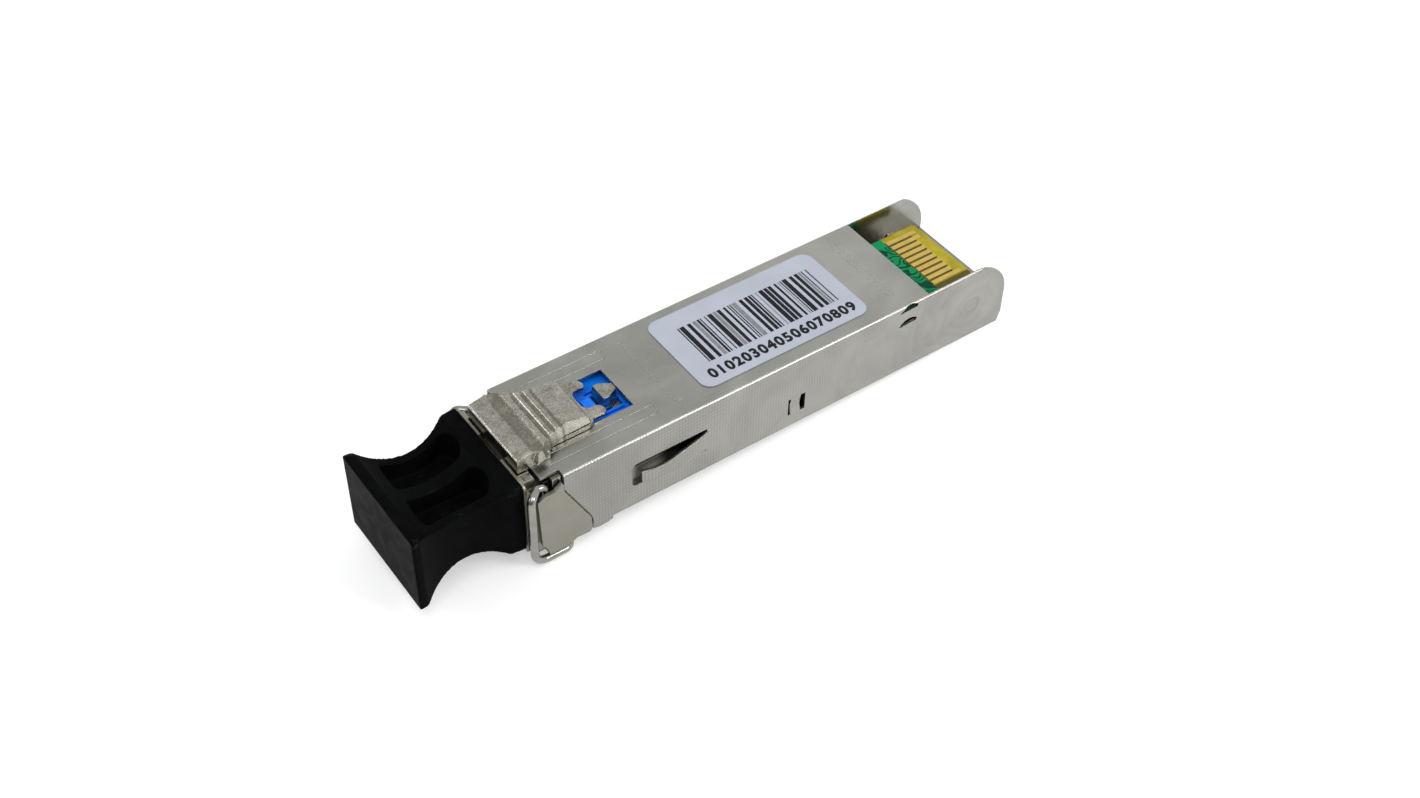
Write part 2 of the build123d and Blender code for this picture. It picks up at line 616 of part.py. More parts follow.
with BuildPart() as tosa_stub:
    # Ceramic stub that holds the transmitter's short fibre
    x_rod(SLEEVE_REAR, 0.6, STUB_RADIUS, PORT_YS[0], OPTICAL_AXIS_Z)
save(tosa_stub, "tosa_stub")

with BuildPart() as rosa_lens:
    # Ball-ended lens in front of the receiver's photodiode
    x_rod(-0.4, 0.6, 1.6, PORT_YS[1], OPTICAL_AXIS_Z)
    with Locations((0.6, PORT_YS[1], OPTICAL_AXIS_Z)):
        Sphere(0.9)
save(rosa_lens, "rosa_lens")


# ---- Circuit board and what is soldered to it ----------------------------------------------
with BuildPart() as main_board:
    with BuildSketch(Plane.XY.offset(BOARD_BOTTOM)):
        with BuildLine():
            Polyline(
                (BOARD_FRONT, 0), (BOARD_FRONT, BOARD_HALF_WIDTH),
                (EDGE_SHOULDER, BOARD_HALF_WIDTH), (EDGE_SHOULDER, EDGE_HALF_WIDTH),
                (BOARD_REAR - 0.4, EDGE_HALF_WIDTH),
                (BOARD_REAR, EDGE_HALF_WIDTH - 0.4), (BOARD_REAR, 0), close=True,
            )
        make_face()
        mirror(about=Plane.XZ)
    extrude(amount=BOARD_THICKNESS)
    rear_edges = main_board.edges().filter_by(Axis.Y).group_by(Axis.X)[-1]
    chamfer(rear_edges, length=0.25)
save(main_board, "main_board")


def edge_contacts(z0):
    """Gold contact pads in one row. The first two and the last reach the board's end first."""
    for index in range(CONTACT_COUNT):
        y = CONTACT_PITCH * (CONTACT_COUNT - 1) / 2 - CONTACT_PITCH * index
        rear = 41.5 if index in (0, 1, CONTACT_COUNT - 1) else 40.9
        block(
            (37.8, rear), (y - CONTACT_WIDTH / 2, y + CONTACT_WIDTH / 2),
            (z0, z0 + CONTACT_THICKNESS),
        )


with BuildPart() as edge_contacts_top:
    edge_contacts(BOARD_TOP)
save(edge_contacts_top, "edge_contacts_top")

with BuildPart() as edge_contacts_bottom:
    edge_contacts(BOARD_BOTTOM - CONTACT_THICKNESS)
save(edge_contacts_bottom, "edge_contacts_bottom")

# Flat chip packages: name, centre x and y, size along x and y, height, and board face
CHIPS = (
    ("laser_driver_chip", 18.0, -2.6, 4.0, 4.0, 0.9, True),
    ("limiting_amplifier_chip", 17.5, 2.8, 3.0, 3.0, 0.9, True),
    ("controller_chip", 27.5, 0.6, 5.0, 5.0, 0.9, True),
    ("memory_chip", 24.0, 0.0, 3.0, 4.4, 1.0, False),
)
for name, x, y, length, width, height, on_top in CHIPS:
    z0 = BOARD_TOP if on_top else BOARD_BOTTOM - height
    with BuildPart() as chip:
        block((x - length / 2, x + length / 2), (y - width / 2, y + width / 2), (z0, z0 + height))
        chamfer(chip.edges().group_by(Axis.Z)[-1 if on_top else 0], length=0.1)
    save(chip, name)


def chip_parts(centres, size, z0):
    """A group of equal small chip components at (x, y) centres, each its own solid."""
    length, width, height = size
    for x, y in centres:
        block(
            (x - length / 2, x + length / 2),
            (y - width / 2, y + width / 2),
            (z0, z0 + height),
        )


capacitor_centres = [(x, y) for x in (14.0, 22.2, 31.6) for y in (-4.2, -1.9, 1.9, 4.2)]
resistor_centres = [(x, y) for x in (23.6, 33.4) for y in (-4.4, -3.2, 3.2, 4.4)]

with BuildPart() as chip_capacitors:
    chip_parts(capacitor_centres, (1.0, 0.5, 0.5), BOARD_TOP)
save(chip_capacitors, "chip_capacitors")

with BuildPart() as chip_resistors:
    chip_parts(resistor_centres, (1.0, 0.5, 0.35), BOARD_TOP)
save(chip_resistors, "chip_resistors")

with BuildPart() as ferrite_beads:
    chip_parts([(30.0, y) for y in (-3.6, -2.2, 2.2, 3.6)], (1.6, 0.8, 0.8), BOARD_BOTTOM - 0.8)
save(ferrite_beads, "ferrite_beads")

with BuildPart() as power_inductors:
    chip_parts([(33.4, y) for y in (-1.4, 1.4)], (2.0, 1.6, 1.0), BOARD_BOTTOM - 1.0)
save(power_inductors, "power_inductors")
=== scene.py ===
import json
import math

import bmesh
import bpy
from mathutils import Euler, Matrix, Vector, noise


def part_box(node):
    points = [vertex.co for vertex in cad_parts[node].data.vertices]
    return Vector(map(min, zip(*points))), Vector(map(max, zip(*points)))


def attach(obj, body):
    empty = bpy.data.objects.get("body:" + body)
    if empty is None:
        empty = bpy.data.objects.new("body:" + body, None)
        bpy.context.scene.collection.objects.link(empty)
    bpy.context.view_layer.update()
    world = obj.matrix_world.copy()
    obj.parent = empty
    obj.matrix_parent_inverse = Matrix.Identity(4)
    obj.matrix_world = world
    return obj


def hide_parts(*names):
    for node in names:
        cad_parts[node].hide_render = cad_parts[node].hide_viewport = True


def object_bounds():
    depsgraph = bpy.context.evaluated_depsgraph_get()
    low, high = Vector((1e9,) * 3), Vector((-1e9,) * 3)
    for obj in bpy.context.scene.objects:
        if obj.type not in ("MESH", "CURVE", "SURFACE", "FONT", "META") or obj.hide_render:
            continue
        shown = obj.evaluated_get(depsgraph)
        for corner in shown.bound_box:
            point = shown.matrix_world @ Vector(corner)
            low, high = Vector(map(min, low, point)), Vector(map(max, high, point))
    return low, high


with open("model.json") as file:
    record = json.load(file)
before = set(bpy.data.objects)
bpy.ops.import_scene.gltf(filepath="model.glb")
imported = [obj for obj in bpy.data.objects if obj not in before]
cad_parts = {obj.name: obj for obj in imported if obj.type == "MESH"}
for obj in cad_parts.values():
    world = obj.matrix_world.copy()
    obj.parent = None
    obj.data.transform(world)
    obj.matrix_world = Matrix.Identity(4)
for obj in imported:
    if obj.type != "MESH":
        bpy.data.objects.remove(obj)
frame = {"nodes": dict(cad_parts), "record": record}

# Looks of the optical transceiver module, in the frame of the CAD model. Lengths are metres,
# except inside the materials, where positions are millimetres.

cad_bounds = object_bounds()
nodes = frame["nodes"]
MM = 0.001
FULL_TURN = 2 * math.pi

# Where the main features are, read from the frame
shell_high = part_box("shell")[1]
label_low, label_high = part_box("label")
contacts_low, contacts_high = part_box("edge_contacts_top")
bail_low, bail_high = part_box("bail")
cover_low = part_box("latch_cover")[0]


# ---- Material building ---------------------------------------------------------------------
# Sockets of the Mix node that carry colours
MIX_COLOUR_A = 6
MIX_COLOUR_B = 7
MIX_COLOUR_OUT = 2
# Noise seldom leaves this span
NOISE_LOW = 0.3
NOISE_HIGH = 0.7


class Finish:
    """A node material. Positions are in millimetres and texture scales in features per mm."""

    def __init__(self, name, metallic=0.0, ior=1.5):
        self.material = bpy.data.materials.new(name)
        self.material.use_nodes = True
        self.tree = self.material.node_tree
        self.surface = self.tree.nodes["Principled BSDF"]
        self.surface.inputs["Metallic"].default_value = metallic
        self.surface.inputs["IOR"].default_value = ior
        coordinates = self.tree.nodes.new("ShaderNodeTexCoord")
        self.place = self.scaled(coordinates.outputs["Object"], 1 / MM)
        self.x, self.y, self.z = self.separated(self.place)
        self.facing_up = self.separated(coordinates.outputs["Normal"])[2]

    def fill(self, socket, value):
        """Link a socket, or set a plain number or colour. None leaves the socket alone."""
        if isinstance(value, bpy.types.NodeSocket):
            self.tree.links.new(value, socket)
        elif isinstance(value, tuple):
            socket.default_value = (*value, 1.0)
        elif value is not None:
            socket.default_value = value

    def scaled(self, vector, factor):
        node = self.tree.nodes.new("ShaderNodeVectorMath")
        node.operation = "SCALE"
        self.tree.links.new(vector, node.inputs[0])
        node.inputs["Scale"].default_value = factor
        return node.outputs[0]

    def separated(self, vector):
        node = self.tree.nodes.new("ShaderNodeSeparateXYZ")
        self.tree.links.new(vector, node.inputs[0])
        return node.outputs

    def joined(self, x, y, z):
        node = self.tree.nodes.new("ShaderNodeCombineXYZ")
        for socket, value in zip(node.inputs, (x, y, z)):
            self.fill(socket, value)
        return node.outputs[0]

    def math(self, operation, a, b=None, clamp=False):
        node = self.tree.nodes.new("ShaderNodeMath")
        node.operation = operation
        node.use_clamp = clamp
        self.fill(node.inputs[0], a)
        self.fill(node.inputs[1], b)
        return node.outputs[0]

    def plus(self, a, b, clamp=False):
        return self.math("ADD", a, b, clamp)

    def minus(self, a, b):
        return self.math("SUBTRACT", a, b)

    def times(self, a, b):
        return self.math("MULTIPLY", a, b)

    def above(self, a, limit):
        return self.math("GREATER_THAN", a, limit)

    def below(self, a, limit):
        return self.math("LESS_THAN", a, limit)

    def size(self, a):
        return self.math("ABSOLUTE", a)

    def wave(self, a, pitch):
        return self.math("SINE", self.times(a, FULL_TURN / pitch))

    def distance_xz(self, x, z):
        """Distance from a line along Y."""
        across = self.math("POWER", self.minus(self.x, x), 2.0)
        upward = self.math("POWER", self.minus(self.z, z), 2.0)
        return self.math("SQRT", self.plus(across, upward))

    def noise(self, scale, detail=3.0, rough=0.5, distortion=0.0, vector=None):
        node = self.tree.nodes.new("ShaderNodeTexNoise")
        self.tree.links.new(vector or self.place, node.inputs["Vector"])
        node.inputs["Scale"].default_value = scale
        node.inputs["Detail"].default_value = detail
        node.inputs["Roughness"].default_value = rough
        node.inputs["Distortion"].default_value = distortion
        return node.outputs["Fac"]

    def cells(self, scale):
        node = self.tree.nodes.new("ShaderNodeTexVoronoi")
        self.tree.links.new(self.place, node.inputs["Vector"])
        node.inputs["Scale"].default_value = scale
        return node.outputs

    def ranged(self, value, low, high, to_low=0.0, to_high=1.0):
        """Carry low..high over to to_low..to_high, held at both ends."""
        node = self.tree.nodes.new("ShaderNodeMapRange")
        self.fill(node.inputs["Value"], value)
        node.inputs["From Min"].default_value = low
        node.inputs["From Max"].default_value = high
        node.inputs["To Min"].default_value = to_low
        node.inputs["To Max"].default_value = to_high
        return node.outputs["Result"]

    def spread(self, value, to_low=0.0, to_high=1.0):
        """Carry the usual span of a noise over to to_low..to_high."""
        return self.ranged(value, NOISE_LOW, NOISE_HIGH, to_low, to_high)

    def mixed(self, factor, a, b):
        node = self.tree.nodes.new("ShaderNodeMix")
        node.data_type = "RGBA"
        self.fill(node.inputs["Factor"], factor)
        self.fill(node.inputs[MIX_COLOUR_A], a)
        self.fill(node.inputs[MIX_COLOUR_B], b)
        return node.outputs[MIX_COLOUR_OUT]

    def softened_edges(self, radius):
        """The surface direction, rounded off over edges sharper than radius."""
        node = self.tree.nodes.new("ShaderNodeBevel")
        node.samples = 4
        self.fill(node.inputs["Radius"], radius)
        return node.outputs[0]

    def bump(self, height, depth, normal=None):
        """depth is the full height of the relief, in metres."""
        node = self.tree.nodes.new("ShaderNodeBump")
        node.inputs["Strength"].default_value = 1.0
        node.inputs["Distance"].default_value = depth
        self.fill(node.inputs["Height"], height)
        self.fill(node.inputs["Normal"], normal)
        return node.outputs[0]

    def finish(self, colour, roughness, normal):
        self.fill(self.surface.inputs["Base Color"], colour)
        self.fill(self.surface.inputs["Roughness"], roughness)
        self.fill(self.surface.inputs["Normal"], normal)
        return self.material


# ---- Metal finishes ------------------------------------------------------------------------
SHEET_DARK = (0.265, 0.262, 0.238)
SHEET_LIGHT = (0.385, 0.38, 0.35)
CAST_DARK = (0.225, 0.218, 0.18)
CAST_LIGHT = (0.325, 0.315, 0.27)
RECESS_SHADE_BLACK = (0.012, 0.012, 0.012)
GRAIN_DARK = (0.17, 0.158, 0.125)
GRAIN_LIGHT = (0.50, 0.485, 0.425)

# Features of the sheet cover that its finish follows, in mm
HATCH_PITCH = 0.66
HATCH_LEAN = 0.8
HATCH_FADE_X = (6.0, 34.0)
TOP_BEND_Z = (8.2, 8.45)
DIMPLE_X = 40.7
DIMPLE_Z = 4.05
DIMPLE_RING_RADIUS = 0.85
DIMPLE_RING_HALF_WIDTH = 0.16
RIPPLE_RATE = 4.2
RIPPLE_WANDER = 5.0
RIPPLE_START_X = (28.0, 36.0)
RECESS_FRONT_X = 34.8
RECESS_HALF_WIDTH = 6.45
FINGER_ROOT_X = 8.0
PALER_REARWARDS_X = (-4.0, 22.0)

# Where the chassis is hidden behind the sheet cover and painted near-black as shade, in mm
HIDDEN_FRONT_X = (2.2, 3.6)
HIDDEN_REAR_X = 36.0
HIDDEN_HALF_WIDTH = 6.6
HIDDEN_ABOVE_Z = 0.6

# Dished band and finger grooves of the latch cover, in mm behind its front
DISH_BEHIND_FRONT = 2.35
DISH_FADE = (0.45, 0.8)
GROOVES_BEHIND_FRONT = (3.9, 4.75, 5.6)
GROOVE_FADE = (0.05, 0.24)
# Upward share of the surface direction: on the cover's flanks and on its top
FLANK_TO_TOP = (0.55, 0.9)


def plated_sheet():
    """Satin plated sheet: faint stains, a fine woven hatch near the nose, shinier inside."""
    f = Finish("plated_sheet", metallic=1.0)
    stains = f.noise(0.16, detail=2.0, distortion=1.2)
    specks = f.noise(9.0, detail=2.0)
    lengthwise = f.joined(f.times(f.x, 0.35), f.y, f.times(f.z, 5.0))
    brushed = f.noise(1.0, detail=3.0, vector=lengthwise)
    across = f.times(f.plus(f.y, f.z), HATCH_LEAN)
    hatch = f.times(
        f.wave(f.plus(f.x, across), HATCH_PITCH), f.wave(f.minus(f.x, across), HATCH_PITCH)
    )
    # The hatch fades rearwards and over the top, and is broken up by large patches
    patches = f.ranged(f.noise(0.35, detail=2.0), 0.25, 0.55, 0.3, 1.0)
    strength = f.times(patches, f.ranged(f.x, *HATCH_FADE_X, 1.0, 0.25))
    on_sides = f.ranged(f.z, *TOP_BEND_Z, 1.0, 0.15)
    hatch = f.times(hatch, f.times(strength, on_sides))
    # Faint rings: painted shade along the edge of the dimple in each rear wing, and stamping
    # marks around it
    from_dimple = f.distance_xz(DIMPLE_X, DIMPLE_Z)
    from_ring = f.size(f.minus(from_dimple, DIMPLE_RING_RADIUS))
    ring = f.ranged(from_ring, 0.0, DIMPLE_RING_HALF_WIDTH, 0.30, 0.0)
    wandering = f.plus(from_dimple, f.times(stains, RIPPLE_WANDER))
    ripple = f.math("SINE", f.times(wandering, RIPPLE_RATE))
    ripple = f.times(ripple, f.ranged(f.x, *RIPPLE_START_X, 0.0, 0.09))
    marks = f.plus(ring, f.times(ripple, on_sides))
    inside = f.times(f.above(f.x, RECESS_FRONT_X), f.below(f.size(f.y), RECESS_HALF_WIDTH))
    tone = f.plus(f.spread(stains, 0.15, 0.75), f.times(hatch, 0.50))
    tone = f.minus(tone, marks)
    speckled = f.ranged(specks, 0.35, 0.65, -0.12, 0.12)
    paler = f.plus(speckled, f.ranged(f.x, *PALER_REARWARDS_X, -0.25, 0.20))
    tone = f.plus(tone, paler, clamp=True)
    colour = f.mixed(tone, SHEET_DARK, SHEET_LIGHT)
    satin = f.plus(f.spread(stains, 0.30, 0.38), f.spread(specks, -0.04, 0.05))
    roughness = f.mixed(inside, satin, f.spread(stains, 0.18, 0.24))
    relief = f.plus(f.times(hatch, 1.2), f.times(brushed, 0.5))
    relief = f.times(relief, f.minus(1.0, inside))
    # The grounding fingers and the sheet beside them have rounder cut edges
    by_finger = f.times(
        f.above(f.size(f.y), RECESS_HALF_WIDTH), f.below(f.x, FINGER_ROOT_X)
    )
    edge_radius = f.ranged(by_finger, 0.0, 1.0, 0.06 * MM, 0.16 * MM)
    waves = f.noise(0.22, detail=1.0)
    wavy = f.bump(waves, 0.10 * MM, f.softened_edges(edge_radius))
    return f.finish(colour, roughness, f.bump(relief, 0.008 * MM, wavy))


def plated_casting():
    """Satin casting with soft edges and slight flow marks."""
    f = Finish("plated_casting", metallic=1.0)
    marks = f.noise(0.5, detail=3.0, distortion=0.6)
    grain = f.noise(11.0, detail=3.0)
    colour = f.mixed(f.ranged(marks, 0.2, 0.8, 0.3, 0.7), CAST_DARK, CAST_LIGHT)
    roughness = f.plus(f.spread(marks, 0.38, 0.44), f.spread(grain, -0.04, 0.06))
    # Painted shade: the recesses behind the sheet cover are painted near-black, standing in for
    # the dark openings there
    behind = f.times(f.ranged(f.x, *HIDDEN_FRONT_X), f.below(f.x, HIDDEN_REAR_X))
    covered = f.times(f.below(f.size(f.y), HIDDEN_HALF_WIDTH), f.above(f.z, HIDDEN_ABOVE_Z))
    colour = f.mixed(f.times(behind, covered), colour, RECESS_SHADE_BLACK)
    return f.finish(colour, roughness, f.bump(grain, 0.008 * MM, f.softened_edges(0.08 * MM)))


def granular_casting():
    """Rough nickel-plated casting: fine glinting grains on a warm grey ground."""
    f = Finish("granular_casting", metallic=1.0)
    grains = f.cells(9.0)
    fine = f.noise(16.0, detail=3.0)
    broad = f.noise(0.8, detail=2.0)
    lightness, dullness, _ = f.separated(grains["Color"])
    tone = f.plus(f.ranged(lightness, 0.0, 1.0, -0.22, 0.30), f.spread(broad, 0.2, 0.6))
    # Painted shade: the dished band across the latch cover is painted darker than the rest
    band_middle = cover_low.x / MM + DISH_BEHIND_FRONT
    dish_and_groove_shade = f.ranged(f.size(f.minus(f.x, band_middle)), *DISH_FADE, 0.40, 0.0)
    # Painted shade: the three finger grooves are painted darker
    for groove in GROOVES_BEHIND_FRONT:
        from_groove = f.size(f.minus(f.x, cover_low.x / MM + groove))
        dish_and_groove_shade = f.plus(dish_and_groove_shade, f.ranged(from_groove, *GROOVE_FADE, 0.45, 0.0))
    # Painted highlight: the sloping flanks are painted lighter than the tops
    flank = f.ranged(f.facing_up, *FLANK_TO_TOP, 1.0, 0.0)
    tone = f.minus(f.plus(tone, f.times(flank, 0.35)), dish_and_groove_shade)
    tone = f.plus(tone, f.spread(fine, -0.15, 0.15), clamp=True)
    colour = f.mixed(tone, GRAIN_DARK, GRAIN_LIGHT)
    roughness = f.ranged(dullness, 0.0, 1.0, 0.20, 0.42)
    roughness = f.mixed(flank, roughness, f.spread(fine, 0.20, 0.26))
    relief = f.plus(f.times(grains["Distance"], 0.8), fine)
    # Sloping flanks are burnished: less grain there
    relief = f.times(relief, f.minus(1.0, f.times(flank, 0.85)))
    return f.finish(colour, roughness, f.bump(relief, 0.020 * MM))


def steel_wire():
    """Smooth drawn wire with fine lengthwise streaks."""
    f = Finish("steel_wire", metallic=1.0)
    blotches = f.noise(0.7, detail=2.0)
    streaks = f.noise(6.0, detail=2.0, vector=f.joined(f.x, f.y, f.times(f.z, 0.15)))
    colour = f.mixed(blotches, (0.20, 0.195, 0.17), (0.40, 0.39, 0.355))
    return f.finish(colour, f.spread(streaks, 0.16, 0.28), f.bump(streaks, 0.004 * MM))


def turned_steel():
    """Lathe-turned steel with fine rings along X."""
    f = Finish("turned_steel", metallic=1.0)
    rings = f.wave(f.x, 0.12)
    colour = f.mixed(f.noise(1.5), (0.46, 0.46, 0.44), (0.60, 0.60, 0.58))
    return f.finish(colour, f.spread(f.noise(8.0), 0.2, 0.32), f.bump(rings, 0.003 * MM))


def can_metal():
    """Yellowish plating of the metal-can packages."""
    f = Finish("can_metal", metallic=1.0)
    colour = f.mixed(f.noise(1.2), (0.50, 0.44, 0.30), (0.66, 0.60, 0.44))
    roughness = f.spread(f.noise(6.0), 0.22, 0.36)
    return f.finish(colour, roughness, f.bump(f.noise(14.0), 0.004 * MM))


def gold_plating():
    """Hard gold over nickel, a little uneven, with fine insertion marks along X."""
    f = Finish("gold_plating", metallic=1.0)
    marks = f.noise(7.0, detail=3.0, vector=f.joined(f.times(f.x, 0.12), f.y, f.z))
    patches = f.noise(1.4, detail=2.0)
    colour = f.mixed(patches, (0.50, 0.37, 0.085), (0.68, 0.52, 0.15))
    return f.finish(colour, f.spread(marks, 0.25, 0.42), f.bump(marks, 0.004 * MM))


# ---- Plastics, paper, ceramics and the board -----------------------------------------------
PLUG_GROUND_DARK = (0.0018, 0.0019, 0.0021)
PLUG_GROUND_LIGHT = (0.0034, 0.0036, 0.0037)
PLUG_WEAR_AND_SHEEN = (0.020, 0.021, 0.022)
PLUG_RIM_Z = (7.9, 8.25)
PLUG_RIM_Y = (5.7, 6.1)

INSERT_DARK = (0.002, 0.12, 0.68)
INSERT_LIGHT = (0.004, 0.21, 0.95)
INSERT_ROOT_SHADE = (0.002, 0.008, 0.022)
INSERT_ROOT_Z = (5.4, 6.6)

MASK_GREEN = (0.006, 0.22, 0.075)
MASK_TRACE = (0.002, 0.060, 0.028)
MASK_PATCH = (0.006, 0.26, 0.10)
MASK_PATCH_Y = 3.4
LAMINATE_DARK = (0.30, 0.23, 0.018)
LAMINATE_LIGHT = (0.42, 0.36, 0.03)
LAMINATE_WING_SHADOW = (0.10, 0.085, 0.02)
LAMINATE_BETWEEN = (0.12, 0.080, 0.016)
CONTACT_MARGIN = 0.1
# The brown laminate between the contacts stops this far short of their rear ends
BETWEEN_STOPS_SHORT = 0.7
WEAVE_PITCH = 0.28
TRACE_PITCH = 0.8
TRACE_WANDER = 5.0


def varied(name, dark, light, scale, roughness, depth, ior=1.5):
    """A dull non-metal with gently varied tone and a fine surface relief."""
    f = Finish(name, ior=ior)
    tone = f.noise(scale, detail=3.0)
    grain = f.noise(scale * 6, detail=2.0)
    colour = f.mixed(f.spread(tone), dark, light)
    return f.finish(colour, f.spread(grain, *roughness), f.bump(grain, depth))


def black_plastic():
    """Black moulding: fine spark texture, faint flow marks and a few rubbed patches."""
    f = Finish("black_plastic", ior=1.055)
    texture = f.noise(14.0, detail=2.0)
    flow = f.noise(0.45, detail=2.0, distortion=0.8)
    rubbed = f.ranged(f.noise(1.6, detail=5.0, rough=0.7), 0.62, 0.76)
    lengthwise = f.joined(f.times(f.x, 0.2), f.y, f.times(f.z, 4.0))
    scratches = f.ranged(f.noise(3.0, detail=4.0, vector=lengthwise), 0.66, 0.74)
    wear_and_sheen = f.times(f.plus(rubbed, scratches, clamp=True), 0.30)
    # Painted highlight: the long upper edges are painted lighter in broken patches, standing in
    # for light caught along them
    rim_highlight = f.times(f.ranged(f.z, *PLUG_RIM_Z), f.ranged(f.size(f.y), *PLUG_RIM_Y))
    rim_highlight = f.times(rim_highlight, f.ranged(f.noise(1.1, detail=4.0), 0.48, 0.62))
    wear_and_sheen = f.plus(wear_and_sheen, rim_highlight, clamp=True)
    ground = f.mixed(f.spread(flow), PLUG_GROUND_DARK, PLUG_GROUND_LIGHT)
    colour = f.mixed(wear_and_sheen, ground, PLUG_WEAR_AND_SHEEN)
    return f.finish(colour, f.spread(flow, 0.36, 0.50), f.bump(texture, 0.010 * MM))


def blue_plastic():
    """Semi-gloss blue moulding. Its root, down inside the nose, is painted near-black as shade.
    """
    f = Finish("blue_plastic", ior=1.28)
    tone = f.noise(0.8, detail=3.0)
    speckle = f.noise(10.0, detail=2.0)
    colour = f.mixed(f.spread(tone), INSERT_DARK, INSERT_LIGHT)
    # Painted shade: below this height the insert is painted near-black
    colour = f.mixed(f.ranged(f.z, *INSERT_ROOT_Z), INSERT_ROOT_SHADE, colour)
    return f.finish(colour, f.spread(speckle, 0.28, 0.42), f.bump(speckle, 0.008 * MM))


def label_paper():
    """Matt bluish-white label stock."""
    f = Finish("label_paper", ior=1.45)
    fibres = f.noise(12.0, detail=4.0)
    cloud = f.noise(0.25, detail=2.0)
    colour = f.mixed(f.spread(cloud), (0.355, 0.385, 0.445), (0.39, 0.42, 0.48))
    return f.finish(colour, f.spread(fibres, 0.46, 0.60), f.bump(fibres, 0.004 * MM))


def board_laminate():
    """Green solder mask with darker traces in front, bare amber laminate under the contacts."""
    f = Finish("board_laminate", ior=1.12)
    contacts_rear = contacts_high.x / MM
    weave = f.times(f.wave(f.x, WEAVE_PITCH), f.wave(f.y, WEAVE_PITCH))
    bend = f.times(f.noise(0.55, detail=1.0), TRACE_WANDER)
    slanted = f.plus(f.plus(f.y, bend), f.times(f.x, 0.5))
    traces = f.ranged(f.wave(slanted, TRACE_PITCH), 0.1, 0.35)
    green = f.mixed(traces, MASK_GREEN, MASK_TRACE)
    green = f.mixed(f.above(f.y, MASK_PATCH_Y), green, MASK_PATCH)
    amber = f.mixed(f.spread(f.noise(0.7, detail=3.0)), LAMINATE_DARK, LAMINATE_LIGHT)
    # Painted shadow: a darker strip beside the last contact, where the near wing shades the
    # board. Brown laminate lies between the contacts
    under_wing_shadow = f.below(f.y, contacts_low.y / MM - CONTACT_MARGIN)
    amber = f.mixed(under_wing_shadow, amber, LAMINATE_WING_SHADOW)
    between = f.times(
        f.below(f.x, contacts_rear - BETWEEN_STOPS_SHORT),
        f.below(f.size(f.y), contacts_high.y / MM),
    )
    amber = f.mixed(between, amber, LAMINATE_BETWEEN)
    bare = f.above(f.x, contacts_low.x / MM - CONTACT_MARGIN)
    colour = f.mixed(bare, green, amber)
    glossy = f.spread(f.noise(5.0), 0.22, 0.34)
    dull = f.spread(f.noise(5.0), 0.42, 0.55)
    relief = f.plus(f.times(weave, 0.15), f.times(traces, -0.5))
    return f.finish(colour, f.mixed(bare, glossy, dull), f.bump(relief, 0.02 * MM))


def optical_glass():
    """Clear polished glass with a trace of haze."""
    f = Finish("optical_glass", ior=1.52)
    f.surface.inputs["Transmission Weight"].default_value = 0.9
    haze = f.noise(3.0)
    colour = f.mixed(haze, (0.80, 0.86, 0.86), (0.90, 0.94, 0.94))
    return f.finish(colour, f.spread(haze, 0.02, 0.06), None)


MATERIALS = {
    "plated_sheet": plated_sheet(),
    "plated_casting": plated_casting(),
    "granular_casting": granular_casting(),
    "steel_wire": steel_wire(),
    "turned_steel": turned_steel(),
    "can_metal": can_metal(),
    "gold_plating": gold_plating(),
    "black_plastic": black_plastic(),
    "blue_plastic": blue_plastic(),
    "label_paper": label_paper(),
    "board_laminate": board_laminate(),
    "optical_glass": optical_glass(),
}
# Dull finishes: dark tone, light tone, scale, roughness span, relief and refractive index
DULL_FINISHES = {
    "white_ceramic": (
        (0.72, 0.70, 0.64), (0.82, 0.80, 0.75), 1.0, (0.18, 0.30), 0.003 * MM, 1.9,
    ),
    "flex_film": ((0.30, 0.13, 0.02), (0.42, 0.20, 0.04), 0.6, (0.25, 0.35), 0.005 * MM),
    "chip_resin": (
        (0.010, 0.010, 0.011), (0.020, 0.020, 0.021), 1.5, (0.45, 0.65), 0.010 * MM,
    ),
    "capacitor_ceramic": (
        (0.26, 0.15, 0.07), (0.36, 0.23, 0.12), 2.0, (0.35, 0.5), 0.006 * MM,
    ),
    "resistor_ceramic": (
        (0.010, 0.010, 0.013), (0.024, 0.024, 0.028), 2.0, (0.2, 0.35), 0.004 * MM,
    ),
    "ferrite": ((0.018, 0.018, 0.020), (0.034, 0.034, 0.037), 1.8, (0.5, 0.7), 0.012 * MM),
}
for name, values in DULL_FINISHES.items():
    MATERIALS[name] = varied(name, *values)
PRINT_INK = varied(
    "print_ink", (0.006, 0.006, 0.008), (0.014, 0.014, 0.017), 4.0, (0.35, 0.5), 0.002 * MM, 1.2
)
FAINT_INK = varied(
    "faint_ink", (0.16, 0.165, 0.18), (0.22, 0.225, 0.24), 4.0, (0.4, 0.55), 0.002 * MM, 1.2
)

# Every CAD node takes the finish of its own material slot
slot_of = {part["node"]: part["material_slot"] for part in frame["record"]["subparts"]}
for name, node in nodes.items():
    node.data.materials.clear()
    node.data.materials.append(MATERIALS[slot_of[name]])


# ---- Pieces with soft, cast or moulded surfaces --------------------------------------------
WELD_DISTANCE = 0.001 * MM
# Layered noise of the grained skins: roughness, step between layers and number of layers
GRAIN_LAYERS = (0.6, 2.0, 3)


def link_piece(name, mesh, body):
    piece = bpy.data.objects.new(name, mesh)
    bpy.context.scene.collection.objects.link(piece)
    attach(piece, body)
    return piece


def baked_mesh(draft):
    """The mesh of an object with its modifiers applied. The object itself is removed."""
    bpy.context.view_layer.update()
    evaluated = draft.evaluated_get(bpy.context.evaluated_depsgraph_get())
    mesh = bpy.data.meshes.new_from_object(evaluated)
    bpy.data.objects.remove(draft)
    return mesh


